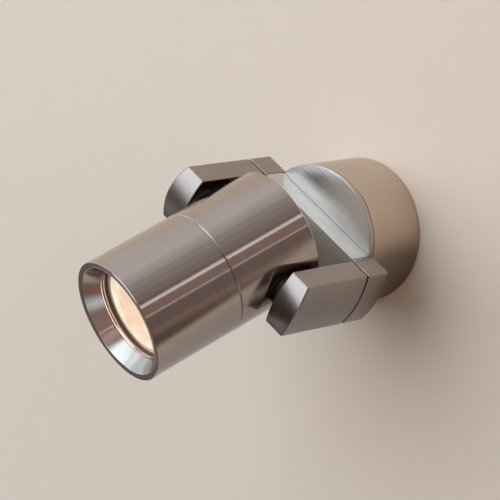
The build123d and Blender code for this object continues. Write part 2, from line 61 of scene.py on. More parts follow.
# bench tools: turned pieces, milled pieces, cuts and edges
nearly = 1e-6  # places closer than this are one
lap = 0.001  # how far joined pieces run into each other
cutOver = 0.002  # how far a cutter reaches past the metal
facets = {"ring": 192, "tube": 256, "bore": 384, "lens": 128, "cutter": 96, "hole": 64, "lockHole": 48,
          "wallHole": 96}  # sides of the round shapes


def turnPiece(name, rings, segments=facets["ring"], capped=False):
    bpy.ops.object.select_all(action="DESELECT")
    radius, height = rings[0]
    bpy.ops.mesh.primitive_circle_add(vertices=segments, radius=radius, location=(0, 0, height),
                                      fill_type="NGON" if capped else "NOTHING")
    piece = bpy.context.object
    piece.name = name
    bpy.ops.object.transform_apply(location=True)
    bpy.ops.object.mode_set(mode="EDIT")
    bpy.ops.mesh.select_all(action="SELECT")
    path = rings[1:] if capped else rings[1:] + rings[:1]
    for nextRadius, nextHeight in path:
        bpy.ops.mesh.extrude_edges_move(TRANSFORM_OT_translate={"value": (0, 0, nextHeight - height)})
        ratio = nextRadius / radius
        bpy.ops.transform.resize(value=(ratio, ratio, 1), center_override=(0, 0, nextHeight))
        radius, height = nextRadius, nextHeight
    if capped:
        bpy.ops.mesh.edge_face_add()
    bpy.ops.mesh.select_all(action="SELECT")
    bpy.ops.mesh.remove_doubles(threshold=nearly)
    bpy.ops.mesh.normals_make_consistent(inside=False)
    bpy.ops.object.mode_set(mode="OBJECT")
    return piece


def millBlock(name, xSpan, ySpan, zSpan):
    bpy.ops.object.select_all(action="DESELECT")
    spans = (xSpan, ySpan, zSpan)
    bpy.ops.mesh.primitive_cube_add(size=1, location=[(low + high) / 2 for low, high in spans])
    piece = bpy.context.object
    piece.name = name
    piece.scale = [high - low for low, high in spans]
    bpy.ops.object.transform_apply(location=True, rotation=True, scale=True)
    return piece


def spinBlock(name, radius, flat, halfWidth, low, high, steps=28):
    bpy.ops.object.select_all(action="DESELECT")
    turn = asin(halfWidth / radius)
    start = (radius * cos(turn), -halfWidth, (low + high) / 2)
    bpy.ops.mesh.primitive_plane_add(size=high - low, location=start, rotation=(pi / 2, 0, 0))
    piece = bpy.context.object
    piece.name = name
    bpy.ops.object.transform_apply(location=True, rotation=True)
    bpy.ops.object.mode_set(mode="EDIT")
    bpy.ops.mesh.select_all(action="SELECT")
    bpy.ops.transform.resize(value=(0, 1, 1), center_override=start)  # the plane becomes one upright edge
    bpy.ops.mesh.remove_doubles(threshold=nearly)
    bpy.ops.mesh.select_all(action="SELECT")
    bpy.ops.mesh.spin(steps=steps, angle=-2 * turn, center=(0, 0, 0), axis=(0, 0, 1))  # turns the other way
    bpy.ops.mesh.select_all(action="SELECT")
    bpy.ops.mesh.extrude_region_move(TRANSFORM_OT_translate={"value": (flat - radius, 0, 0)})
    bpy.ops.transform.resize(value=(0, 1, 1), center_override=(flat, 0, 0))
    bpy.ops.mesh.select_all(action="SELECT")
    bpy.ops.mesh.normals_make_consistent(inside=False)
    bpy.ops.object.mode_set(mode="OBJECT")
    return piece


def crownEnd(piece, height, rise, halfWidth):
    noseRadius = (halfWidth ** 2 + rise ** 2) / (2 * rise)
    rows = sorted({round(vertex.co.y, 7) for vertex in piece.data.vertices})
    pick(piece)
    bpy.ops.object.mode_set(mode="EDIT")
    for row in rows:  # each row of the end drops back along the arc
        bpy.ops.mesh.select_all(action="DESELECT")
        shape = bmesh.from_edit_mesh(piece.data)
        for vertex in shape.verts:
            vertex.select = abs(vertex.co.y - row) < nearly and abs(vertex.co.z - height) < nearly
        shape.select_flush(True)
        bmesh.update_edit_mesh(piece.data)
        drop = noseRadius - sqrt(noseRadius ** 2 - row ** 2)
        bpy.ops.transform.translate(value=(0, 0, -drop))
    bpy.ops.object.mode_set(mode="OBJECT")
    return piece


def roundCutter(radius, span, axis="Z", centre=(0, 0), vertices=facets["cutter"]):
    bpy.ops.object.select_all(action="DESELECT")
    low, high = span
    bpy.ops.mesh.primitive_cylinder_add(vertices=vertices, radius=radius, depth=high - low)
    cutter = bpy.context.object
    middle = (low + high) / 2
    if axis == "Z":
        cutter.location = (centre[0], centre[1], middle)
    elif axis == "X":
        cutter.rotation_euler = (0, pi / 2, 0)
        cutter.location = (middle, centre[0], centre[1])
    else:
        cutter.rotation_euler = (pi / 2, 0, 0)
        cutter.location = (centre[0], middle, centre[1])
    bpy.ops.object.transform_apply(location=True, rotation=True, scale=True)
    return cutter


def pick(piece):
    bpy.ops.object.select_all(action="DESELECT")
    piece.select_set(True)
    bpy.context.view_layer.objects.active = piece


def joinBy(piece, other, operation):
    change = piece.modifiers.new("cut", "BOOLEAN")
    change.operation = operation
    change.solver = "EXACT"
    change.object = other
    pick(piece)
    bpy.ops.object.modifier_apply(modifier="cut")
    bpy.data.objects.remove(other)
    return piece


def breakEdges(piece, width, segments=2, angle=28):
    pick(piece)
    bpy.ops.object.shade_smooth()
    edge = piece.modifiers.new("edge", "BEVEL")
    edge.width = width
    edge.segments = segments
    edge.limit_method = "ANGLE"
    edge.angle_limit = radians(angle)
    edge.miter_outer = "MITER_ARC"
    bpy.ops.object.modifier_apply(modifier="edge")
    return piece


def smoothFaces(piece, angle):
    pick(piece)
    bpy.ops.object.shade_smooth_by_angle(angle=radians(angle))
    even = piece.modifiers.new("even", "WEIGHTED_NORMAL")
    even.weight = 100  # the large faces lead
    even.keep_sharp = True
    bpy.ops.object.modifier_apply(modifier="even")
    return piece


def turnedGrain(piece):
    grain = piece.data.uv_layers.new(name="grain")
    for face in piece.data.polygons:
        corners = [piece.data.vertices[piece.data.loops[i].vertex_index].co for i in face.loop_indices]
        turns = [atan2(co.y, co.x) / (2 * pi) % 1 for co in corners]
        if max(turns) - min(turns) > 0.5:
            turns = [turn + 1 if turn < 0.5 else turn for turn in turns]  # keeps the seam face in one piece
        for i, co, turn in zip(face.loop_indices, corners, turns):
            grain.data[i].uv = (co.z - sqrt(co.x ** 2 + co.y ** 2) / 2, turn)
    return piece


def brushedGrain(piece, across, along):
    grain = piece.data.uv_layers.new(name="grain")
    for face in piece.data.polygons:
        for i in face.loop_indices:
            co = piece.data.vertices[piece.data.loops[i].vertex_index].co
            grain.data[i].uv = (co.dot(across), co.dot(along))
    return piece


def seatPiece(piece, place, body, node, material, smoothUpTo=50):
    piece.data.materials.clear()
    piece.data.materials.append(material)
    pick(piece)
    piece.matrix_world = place
    bpy.ops.object.transform_apply(location=True, rotation=True, scale=True)
    smoothFaces(piece, smoothUpTo)
    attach(piece, body)
    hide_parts(node)
    return piece


# finishes
noiseReach = (0.3, 0.7)  # most of a noise's values lie between these


def newMaterial(name):
    material = bpy.data.materials.new(name)
    material.use_nodes = True
    tree = material.node_tree
    return material, tree, tree.nodes["Principled BSDF"]


def addNode(tree, kind, **settings):
    node = tree.nodes.new(kind)
    for key, value in settings.items():
        if key in node.inputs:
            node.inputs[key].default_value = value
        else:
            setattr(node, key, value)
    return node


def grainNoise(tree, stretch, detail=3.0):
    place = addNode(tree, "ShaderNodeUVMap", uv_map="grain")
    turn = addNode(tree, "ShaderNodeMapping", Scale=stretch)
    noise = addNode(tree, "ShaderNodeTexNoise", Scale=1.0, Detail=detail, Roughness=0.6)
    tree.links.new(place.outputs["UV"], turn.inputs["Vector"])
    tree.links.new(turn.outputs["Vector"], noise.inputs["Vector"])
    return noise


def cloudNoise(tree, scale, detail=2.0):
    place = addNode(tree, "ShaderNodeTexCoord")
    noise = addNode(tree, "ShaderNodeTexNoise", Scale=scale, Detail=detail, Roughness=0.5)
    tree.links.new(place.outputs["Object"], noise.inputs["Vector"])
    return noise


def spread(tree, source, low, high):
    ramp = addNode(tree, "ShaderNodeMapRange")
    ramp.inputs["From Min"].default_value, ramp.inputs["From Max"].default_value = noiseReach
    ramp.inputs["To Min"].default_value = low
    ramp.inputs["To Max"].default_value = high
    tree.links.new(source, ramp.inputs["Value"])
    return ramp.outputs["Result"]


def blendColours(tree, factor, first, second):
    mix = addNode(tree, "ShaderNodeMix", data_type="RGBA")
    sockets = {socket.name: socket for socket in mix.inputs if socket.type == "RGBA"}
    for name, colour in (("A", first), ("B", second)):
        if isinstance(colour, tuple):
            sockets[name].default_value = (*colour, 1)
        else:
            tree.links.new(colour, sockets[name])
    tree.links.new(factor, mix.inputs["Factor"])
    return next(socket for socket in mix.outputs if socket.type == "RGBA")


# grain: lines across and along the "grain" map; stretch: how far highlights spread across the lines
turned = {"light": (0.495, 0.43, 0.385), "dark": (0.455, 0.39, 0.345), "roughness": (0.13, 0.17),
          "stretch": 0.75, "grain": (2600, 5, 1), "bump": 0.000002}
canopyTurned = {"light": (0.63, 0.525, 0.425), "dark": (0.58, 0.48, 0.385), "roughness": (0.22, 0.26),
                "stretch": 1.0, "grain": (2600, 5, 1), "bump": 0.000002}
capTurned = {"light": (0.62, 0.595, 0.56), "dark": (0.57, 0.545, 0.51), "roughness": (0.13, 0.17),
             "stretch": 0.75, "grain": (2600, 5, 1), "bump": 0.000002}
brushed = {"light": (0.385, 0.342, 0.31), "dark": (0.31, 0.268, 0.24), "roughness": (0.18, 0.22),
           "stretch": 0.6, "grain": (1500, 25, 1), "bump": 0.000002}
satin = {"light": (0.68, 0.665, 0.635), "dark": (0.585, 0.57, 0.54), "roughness": (0.22, 0.27),
         "stretch": 0.5, "grain": (1300, 60, 1), "bump": 0.0000008}
boredMouth = {"light": (0.49, 0.47, 0.435), "dark": (0.46, 0.435, 0.40)}
metalTone = {"lines": 0.6, "clouds": 0.4, "cloudScale": 45, "bumpStrength": 0.1}  # every grained metal


def grainedMetal(name, finish, bored=None):
    material, tree, shader = newMaterial(name)
    lines = grainNoise(tree, finish["grain"])
    clouds = cloudNoise(tree, metalTone["cloudScale"])
    mixed = addNode(tree, "ShaderNodeMath", operation="MULTIPLY_ADD")
    mixed.inputs[1].default_value = metalTone["lines"]
    tree.links.new(lines.outputs["Fac"], mixed.inputs[0])
    softened = addNode(tree, "ShaderNodeMath", operation="MULTIPLY")
    softened.inputs[1].default_value = metalTone["clouds"]
    tree.links.new(clouds.outputs["Fac"], softened.inputs[0])
    tree.links.new(softened.outputs[0], mixed.inputs[2])
    tone = spread(tree, mixed.outputs[0], 0.0, 1.0)
    colour = blendColours(tree, tone, finish["dark"], finish["light"])
    if bored:  # faces marked as bored are paler than the outside
        marked = addNode(tree, "ShaderNodeAttribute", attribute_name="bored")
        inside = blendColours(tree, tone, bored["dark"], bored["light"])
        colour = blendColours(tree, marked.outputs["Fac"], colour, inside)
    tree.links.new(colour, shader.inputs["Base Color"])
    tree.links.new(spread(tree, lines.outputs["Fac"], *finish["roughness"]), shader.inputs["Roughness"])
    shader.inputs["Metallic"].default_value = 1.0
    shader.inputs["Anisotropic"].default_value = finish["stretch"]
    tangent = addNode(tree, "ShaderNodeTangent", direction_type="UV_MAP", uv_map="grain")
    tree.links.new(tangent.outputs["Tangent"], shader.inputs["Tangent"])
    bump = addNode(tree, "ShaderNodeBump", Strength=metalTone["bumpStrength"], Distance=finish["bump"])
    tree.links.new(lines.outputs["Fac"], bump.inputs["Height"])
    tree.links.new(bump.outputs["Normal"], shader.inputs["Normal"])
    return material


turnedBronze = grainedMetal("turnedBronze", turned)
capBronze = grainedMetal("capBronze", capTurned)
canopyBronze = grainedMetal("canopyBronze", canopyTurned)
mouthBronze = grainedMetal("mouthBronze", turned, boredMouth)
brushedBronze = grainedMetal("brushedBronze", brushed)
satinAluminium = grainedMetal("satinAluminium", satin)

plainLooks = {
    "zincSteel": {"light": (0.66, 0.67, 0.66), "dark": (0.50, 0.51, 0.52), "scale": 320,
                  "roughness": (0.28, 0.42), "metallic": 1.0},
    "brass": {"light": (0.78, 0.60, 0.30), "dark": (0.66, 0.48, 0.22), "scale": 400,
              "roughness": (0.22, 0.34), "metallic": 1.0},
    # near-black steel used only on the pivot studs, as painted shade in the gaps
    "studShadeBlack": {"light": (0.05, 0.047, 0.045), "dark": (0.03, 0.028, 0.027), "scale": 300,
                   "roughness": (0.35, 0.5), "metallic": 1.0},
    "blackRubber": {"light": (0.035, 0.033, 0.032), "dark": (0.018, 0.017, 0.017), "scale": 900,
                    "roughness": (0.55, 0.75)},
    "cushionRubber": {"light": (0.13, 0.05, 0.04), "dark": (0.085, 0.034, 0.027), "scale": 900,
                      "roughness": (0.5, 0.65)},
    "bearingPlastic": {"light": (0.045, 0.043, 0.041), "dark": (0.028, 0.027, 0.026), "scale": 500,
                       "roughness": (0.34, 0.46)},
    "whitePlastic": {"light": (0.84, 0.84, 0.82), "dark": (0.77, 0.77, 0.75), "scale": 350,
                     "roughness": (0.40, 0.52)},
    "ceramic": {"light": (0.84, 0.80, 0.73), "dark": (0.74, 0.70, 0.63), "scale": 600,
                "roughness": (0.55, 0.75)},
    "lampShell": {"light": (0.72, 0.66, 0.56), "dark": (0.68, 0.62, 0.52), "scale": 300,
                  "roughness": (0.25, 0.38)}}
plainGrain = {"detail": 4.0, "bumpStrength": 0.3, "bumpDepth": 0.00002}  # the same on every plain finish
paintedRimGlow = {"colour": (1.0, 0.78, 0.5), "strength": 0.14}  # painted light: the lamp's shell glows faintly so its rim beside the lit lens isn't dark in its shaded gap


def plainFinish(name, light, dark, scale, roughness, metallic=0.0):
    material, tree, shader = newMaterial(name)
    clouds = cloudNoise(tree, scale, plainGrain["detail"])
    tone = spread(tree, clouds.outputs["Fac"], 0.0, 1.0)
    tree.links.new(blendColours(tree, tone, dark, light), shader.inputs["Base Color"])
    tree.links.new(spread(tree, clouds.outputs["Fac"], *roughness), shader.inputs["Roughness"])
    shader.inputs["Metallic"].default_value = metallic
    bump = addNode(tree, "ShaderNodeBump", Strength=plainGrain["bumpStrength"],
                   Distance=plainGrain["bumpDepth"])
    tree.links.new(clouds.outputs["Fac"], bump.inputs["Height"])
    tree.links.new(bump.outputs["Normal"], shader.inputs["Normal"])
    return material


plain = {name: plainFinish(name, **look) for name, look in plainLooks.items()}
# painted glow on the lamp's shell, which is no lamp
rimGlowShader = plain["lampShell"].node_tree.nodes["Principled BSDF"]
rimGlowShader.inputs["Emission Color"].default_value = (*paintedRimGlow["colour"], 1)
rimGlowShader.inputs["Emission Strength"].default_value = paintedRimGlow["strength"]
print("finishes ready")

# the lit lens: warm cells under a clear front, paler towards its edge
lensGlow = {"cream": (0.98, 0.85, 0.64), "peach": (0.98, 0.70, 0.50), "cells": 210, "strength": 0.92,
            "cellSwing": (0.92, 1.12), "edge": (0.011, 0.0185), "wander": 0.012, "cloudScale": 130,
            "glassPale": (0.12, 0.09, 0.07), "glassDark": (0.08, 0.055, 0.04), "roughness": 0.3,
            "bumpStrength": 0.4, "bumpDepth": 0.0004}


def glowingLens(look):
    material, tree, shader = newMaterial("lensGlow")
    place = addNode(tree, "ShaderNodeUVMap", uv_map="grain")
    cells = addNode(tree, "ShaderNodeTexVoronoi", feature="SMOOTH_F1", Scale=look["cells"])
    clouds = addNode(tree, "ShaderNodeTexNoise", Scale=look["cloudScale"], Detail=1.0)
    reach = addNode(tree, "ShaderNodeVectorMath", operation="LENGTH")
    for node in (cells, clouds, reach):
        tree.links.new(place.outputs["UV"], node.inputs[0])
    wander = addNode(tree, "ShaderNodeMath", operation="MULTIPLY_ADD")  # the pale edge isn't quite round
    wander.inputs[1].default_value = look["wander"]
    tree.links.new(clouds.outputs["Fac"], wander.inputs[0])
    tree.links.new(reach.outputs["Value"], wander.inputs[2])
    paler = addNode(tree, "ShaderNodeMapRange", interpolation_type="SMOOTHSTEP")
    for end, reached in zip(("From Min", "From Max"), look["edge"]):
        paler.inputs[end].default_value = reached + look["wander"] / 2
    tree.links.new(wander.outputs[0], paler.inputs["Value"])
    warm = blendColours(tree, paler.outputs["Result"], look["peach"], look["cream"])
    mottle = spread(tree, clouds.outputs["Fac"], 0.0, 1.0)
    dim = blendColours(tree, mottle, look["glassPale"], look["glassDark"])
    tree.links.new(dim, shader.inputs["Base Color"])
    tree.links.new(warm, shader.inputs["Emission Color"])
    low, high = [swing * look["strength"] for swing in look["cellSwing"]]
    tree.links.new(spread(tree, cells.outputs["Distance"], low, high), shader.inputs["Emission Strength"])
    shader.inputs["Roughness"].default_value = look["roughness"]
    bump = addNode(tree, "ShaderNodeBump", Strength=look["bumpStrength"], Distance=look["bumpDepth"])
    tree.links.new(cells.outputs["Distance"], bump.inputs["Height"])
    tree.links.new(bump.outputs["Normal"], shader.inputs["Normal"])
    return material


litLens = glowingLens(lensGlow)

# canopy
canopyCup = {"radius": 0.035, "depth": 0.0346, "wall": 0.003, "face": 0.0042, "rimLip": 0.0012,
             "gasket": 0.002, "bore": 0.01008, "slipSeat": (0.03003, 0.02597, 0.00055),
             "stopGroove": (0.0223, 0.0177, 0.0026), "edge": 0.00035, "lockHole": (0.00215, 0.007)}


def makeCanopy(size):
    inner, innerFace = size["radius"] - size["wall"], size["depth"] - size["face"]
    lip = size["radius"] - size["rimLip"]
    rings = [(lip, 0), (size["radius"], 0), (size["radius"], size["depth"])]
    for outerEdge, innerEdge, deep in (size["slipSeat"], size["stopGroove"]):
        rings += [(outerEdge, size["depth"]), (outerEdge, size["depth"] - deep),
                  (innerEdge, size["depth"] - deep), (innerEdge, size["depth"])]
    rings += [(size["bore"], size["depth"]), (size["bore"], innerFace), (inner, innerFace),
              (inner, size["gasket"]), (lip, size["gasket"])]
    cup = turnPiece("canopyCup", rings)
    breakEdges(cup, size["edge"])
    hole, height = size["lockHole"]
    span = (-size["radius"] - cutOver, -inner + cutOver)
    joinBy(cup, roundCutter(hole, span, "Y", (0, height), facets["lockHole"]), "DIFFERENCE")
    turnedGrain(cup)
    return seatPiece(cup, baseSeat, "base", "canopy", canopyBronze)


makeCanopy(canopyCup)
print("canopy ready")

# yoke: collar, core, blocks and arms
collarBand = {"radius": 0.035, "inner": 0.03103, "rear": 0.0349, "front": 0.0377, "edge": 0.0002}


def makeCollar(size):
    rings = [(size["inner"], size["rear"]), (size["radius"], size["rear"]),
             (size["radius"], size["front"]), (size["inner"], size["front"])]
    band = turnPiece("collarBand", rings)
    breakEdges(band, size["edge"])
    turnedGrain(band)
    return seatPiece(band, yokeSeat, "yoke", "collar_ring", turnedBronze)


makeCollar(collarBand)

coreCasting = {"hub": 0.031, "radius": 0.03495, "rear": 0.0349, "discRear": 0.0377, "discFront": 0.0385,
               "barRadius": 0.0349, "barFront": 0.0504, "halfWidth": 0.0147, "stemHole": (0.00803, 0.0419),
               "edge": 0.00022, "corner": 0.00024, "footReach": 0.0312, "footSpan": (-0.0006, 0.002),
               "faceRings": (0.0335, 0.032, 0.0305, 0.029, 0.0275, 0.026, 0.020, 0.015, 0.010, 0.005),
               "crownStart": 0.026, "crownDrop": 0.0004}
coreGrain = {"across": Vector((0, 1, 0.6)), "along": Vector((1, 0, 0))}


def makeCore(size):
    hole, holeTop = size["stemHole"]
    rings = [(hole, holeTop), (hole, size["rear"]), (size["hub"], size["rear"]),
             (size["hub"], size["discRear"]), (size["radius"], size["discRear"])]
    for radius in (size["radius"], *size["faceRings"]):  # the face falls away a little to its rim
        share = max(0, radius - size["crownStart"]) / (size["radius"] - size["crownStart"])
        rings.append((radius, size["discFront"] - size["crownDrop"] * share ** 2))
    disc = turnPiece("yokeCore", rings, facets["tube"], capped=True)
    breakEdges(disc, size["edge"])
    bar = millBlock("coreBar", (-size["radius"], size["radius"]), (-size["halfWidth"], size["halfWidth"]),
                    (size["discFront"] + size["corner"], size["barFront"]))
    span = (size["rear"], size["barFront"] + cutOver)
    joinBy(bar, roundCutter(size["barRadius"], span, vertices=facets["tube"]), "INTERSECT")
    breakEdges(bar, size["edge"])
    inset = size["halfWidth"] - size["corner"]  # the foot stands back, which leaves a relief line
    span = [size["discFront"] + offset for offset in size["footSpan"]]
    foot = millBlock("coreFoot", (-size["footReach"], size["footReach"]), (-inset, inset), span)
    joinBy(bar, foot, "UNION")
    joinBy(disc, bar, "UNION")
    brushedGrain(disc, **coreGrain)
    return seatPiece(disc, yokeSeat, "yoke", "yoke_core", satinAluminium)


makeCore(coreCasting)

sideBlock = {"inner": 0.03505, "flat": 0.026, "outer": 0.0465, "halfWidth": 0.0147, "rear": 0.0361,
             "front": 0.0505, "screws": (0.04075, 0.007), "headHole": (0.00365, 0.00415),
             "edge": 0.0006, "edgeSteps": 3}
yokeArm = {"inner": 0.0328, "outer": 0.0465, "halfWidth": 0.0147, "rear": 0.0516, "tip": 0.0970,
           "noseRise": 0.0027, "bossInset": 0.0022, "bossFoot": 0.0505, "pivot": 0.087,
           "bushHole": (0.00658, 0.043), "edge": 0.0006, "edgeSteps": 3}
armGrain = {"across": Vector((0.4, 1, 0)), "along": Vector((0.5, 0, 1))}


def turnToSide(piece, side):
    if side < 0:
        piece.rotation_euler = (0, 0, pi)
        pick(piece)
        bpy.ops.object.transform_apply(rotation=True)
    return piece


def makeBlock(size, side):
    hand = "Left" if side < 0 else "Right"
    block = spinBlock("sideBlock" + hand, size["outer"], size["flat"], size["halfWidth"],
                      size["rear"], size["front"])
    breakEdges(block, size["edge"], size["edgeSteps"])
    span = (size["rear"] - cutOver, size["front"] + cutOver)
    joinBy(block, roundCutter(size["inner"], span, vertices=facets["bore"]), "DIFFERENCE")
    across, up = size["screws"]
    radius, deep = size["headHole"]
    span = (size["rear"] - cutOver, size["rear"] + deep)
    for half in (-1, 1):
        joinBy(block, roundCutter(radius, span, "Z", (across, half * up), facets["hole"]), "DIFFERENCE")
    turnToSide(block, side)
    brushedGrain(block, **armGrain)
    return seatPiece(block, yokeSeat, "yoke", "side_block_" + hand.lower(), brushedBronze)


def makeArm(size, side):
    hand = "Left" if side < 0 else "Right"
    arm = spinBlock("arm" + hand, size["outer"], size["inner"], size["halfWidth"],
                    size["rear"], size["tip"])
    crownEnd(arm, size["tip"], size["noseRise"], size["halfWidth"])
    breakEdges(arm, size["edge"], size["edgeSteps"])
    inset = size["bossInset"]  # the boss stands back, which leaves the seam between arm and block
    boss = millBlock("boss", (size["inner"] + inset, size["outer"]),
                     (inset - size["halfWidth"], size["halfWidth"] - inset),
                     (size["bossFoot"], size["rear"] + lap))
    span = (size["bossFoot"] - cutOver, size["rear"] + cutOver)
    joinBy(boss, roundCutter(size["outer"] - inset, span, vertices=facets["bore"]), "INTERSECT")
    joinBy(arm, boss, "UNION")
    radius, end = size["bushHole"]
    span = (size["inner"] - cutOver, end)
    joinBy(arm, roundCutter(radius, span, "X", (0, size["pivot"]), facets["hole"]), "DIFFERENCE")
    turnToSide(arm, side)
    brushedGrain(arm, **armGrain)
    return seatPiece(arm, yokeSeat, "yoke", "arm_" + hand.lower(), brushedBronze)


for side in (-1, 1):
    makeBlock(sideBlock, side)
    makeArm(yokeArm, side)
print("yoke pieces ready")

# lamp tube
rearTube = {"radius": 0.030, "bore": 0.0265, "rear": -0.0203, "seam": 0.02525, "spigot": 0.02775,
            "spigotEnd": 0.0333, "capLedge": 0.02803, "capSeat": -0.017, "rearEdge": 0.0008,
            "seamEdge": 0.0005, "edge": 0.00022, "studSeat": (0.0083, 0.02883),
            "studHole": 0.00503, "studHoleSpan": (0.02, 0.0305)}
frontTube = {"radius": 0.030, "rear": 0.02535, "front": 0.0732, "socket": 0.0279, "socketEnd": 0.0336,
             "bore": 0.0256, "mouth": 0.0270, "throat": (0.0227, 0.0658), "lip": (0.0222, 0.0650),
             "lipRear": 0.0638, "edge": 0.0003, "edgeSteps": 1, "smoothUpTo": 30}
rearDisc = {"radius": 0.028, "spigot": 0.02647, "rear": -0.020, "seat": -0.017, "inner": -0.015,
            "edge": 0.0003}


def makeRearTube(size):
    rings = [(size["capLedge"], size["rear"]), (size["radius"] - size["rearEdge"], size["rear"]),
             (size["radius"], size["rear"] + size["rearEdge"]),
             (size["radius"], size["seam"] - size["seamEdge"]),
             (size["radius"] - size["seamEdge"], size["seam"]),
             (size["spigot"], size["seam"]), (size["spigot"], size["spigotEnd"]),
             (size["bore"], size["spigotEnd"]), (size["bore"], size["capSeat"]),
             (size["capLedge"], size["capSeat"])]
    tube = turnPiece("rearTube", rings, facets["tube"])
    breakEdges(tube, size["edge"])
    seat, seatFloor = size["studSeat"]
    cuts = ((seat, (seatFloor, size["radius"] + cutOver)), (size["studHole"], size["studHoleSpan"]))
    for side in (-1, 1):
        for radius, span in cuts:
            joinBy(tube, roundCutter(radius, sorted(side * end for end in span), "X"), "DIFFERENCE")
    turnedGrain(tube)
    return seatPiece(tube, headSeat, "head", "lamp_housing", turnedBronze)


def makeFrontTube(size):
    throat, throatFront = size["throat"]
    lip, lipFront = size["lip"]
    rings = [(size["socket"], size["rear"]), (size["radius"], size["rear"]),
             (size["radius"], size["front"]), (size["mouth"], size["front"]),
             (throat, throatFront), (throat, lipFront), (lip, lipFront),
             (lip, size["lipRear"]), (size["bore"], size["lipRear"]), (size["bore"], size["socketEnd"]),
             (size["socket"], size["socketEnd"])]
    tube = turnPiece("frontTube", rings, facets["tube"])
    breakEdges(tube, size["edge"], size["edgeSteps"])
    turnedGrain(tube)
    bored = tube.data.attributes.new("bored", "FLOAT", "FACE")
    for face in tube.data.polygons:
        inMouth = throatFront < face.center.z < size["front"]
        bored.data[face.index].value = inMouth and face.center.xy.length < size["mouth"]
    # its chamfers stay crisp
    return seatPiece(tube, headSeat, "snoot", "snoot", mouthBronze, size["smoothUpTo"])


def makeRearDisc(size):
    rings = [(size["radius"], size["rear"]), (size["radius"], size["seat"]), (size["spigot"], size["seat"]),
             (size["spigot"], size["inner"])]
    disc = turnPiece("rearDisc", rings, capped=True)
    breakEdges(disc, size["edge"])
    turnedGrain(disc)
    return seatPiece(disc, headSeat, "head", "rear_cap", capBronze)


makeRearTube(rearTube)
makeFrontTube(frontTube)
makeRearDisc(rearDisc)

# lamp
lampShape = {"base": 0.0103, "neck": (0.014, 0.0213), "waist": (0.020, 0.0343), "rimRear": 0.054,
             "radius": 0.025, "front": 0.062, "lensHole": 0.02013, "lensSeat": 0.059, "edge": 0.0003}
lampFront = {"radius": 0.0201, "back": 0.059, "edgeHeight": 0.0621, "dome": 0.0008, "steps": 8}
cushion = {"outer": 0.02557, "inner": 0.0217, "rear": 0.0623, "front": 0.0638, "edge": 0.0003}


def makeLamp(size):
    neck, neckTop = size["neck"]
    waist, waistTop = size["waist"]
    rings = [(neck, size["base"]), (neck, neckTop), (waist, waistTop), (size["radius"], size["rimRear"]),
             (size["radius"], size["front"]), (size["lensHole"], size["front"]),
             (size["lensHole"], size["lensSeat"])]
    lamp = turnPiece("lampBody", rings, capped=True)
    breakEdges(lamp, size["edge"])
    turnedGrain(lamp)
    return seatPiece(lamp, headSeat, "head", "lamp_body", plain["lampShell"])


def makeLens(size):
    rings = [(size["radius"], size["back"])]
    for step in range(size["steps"]):
        share = step / size["steps"]
        radius = size["radius"] * (1 - share)
        rings.append((radius, size["edgeHeight"] + size["dome"] * (1 - (1 - share) ** 2)))
    lens = turnPiece("lampLens", rings, facets["lens"], capped=True)
    brushedGrain(lens, Vector((1, 0, 0)), Vector((0, 1, 0)))  # laid flat, in metres from the middle
    return seatPiece(lens, headSeat, "head", "lamp_lens", litLens)


def makeCushion(size):
    rings = [(size["inner"], size["rear"]), (size["outer"], size["rear"]), (size["outer"], size["front"]),
             (size["inner"], size["front"])]
    pad = turnPiece("lampCushion", rings)
    breakEdges(pad, size["edge"])
    return seatPiece(pad, headSeat, "snoot", "lamp_cushion_ring", plain["cushionRubber"])


makeLamp(lampShape)
litFront = makeLens(lampFront)
makeCushion(cushion)
print("tube and lamp ready")

# finishes of the pieces that stay as they came
slotFinish = {"zinc_steel": plain["zincSteel"], "brass": plain["brass"],
              "black_rubber": plain["blackRubber"], "bearing_plastic": plain["bearingPlastic"],
              "white_plastic": plain["whitePlastic"], "ceramic": plain["ceramic"],
              "lamp_shell": plain["lampShell"], "bronze": turnedBronze,
              "satin_aluminium": satinAluminium, "lamp_glow": litLens}
for part in frame["record"]["subparts"]:
    node = nodes[part["node"]]
    node.data.materials.clear()
    dark = part["node"].startswith("pivot_stud")  # painted shade: the pivot studs are made near-black so the gaps beside the tube stay dark
    node.data.materials.append(plain["studShadeBlack"] if dark else slotFinish[part["material_slot"]])

# wall, light and camera
wallLook = {"light": (0.73, 0.635, 0.545), "dark": (0.72, 0.625, 0.535), "scale": 60,
            "roughness": (0.85, 0.95), "gap": 0.0006, "hole": 0.0336, "grow": (6, 10),
            "left": 1.6, "right": 0.25, "up": 0.45, "down": 1.2}
# painted reflection: two soft patches of the wall are darker in the metal than to the eye, seen so by glossy rays
# only
paintedReflectionShades = {
    "besideCanopy": {"centre": (0.034, -0.032), "reach": (0.046, 0.040), "solid": 0.6, "depth": 0.72,
                     "colour": (0.04, 0.032, 0.028)},
    "belowTube": {"centre": (0.04, -0.15), "reach": (0.17, 0.10), "solid": 0.5, "depth": 0.55,
                  "colour": (0.42, 0.44, 0.46)}}


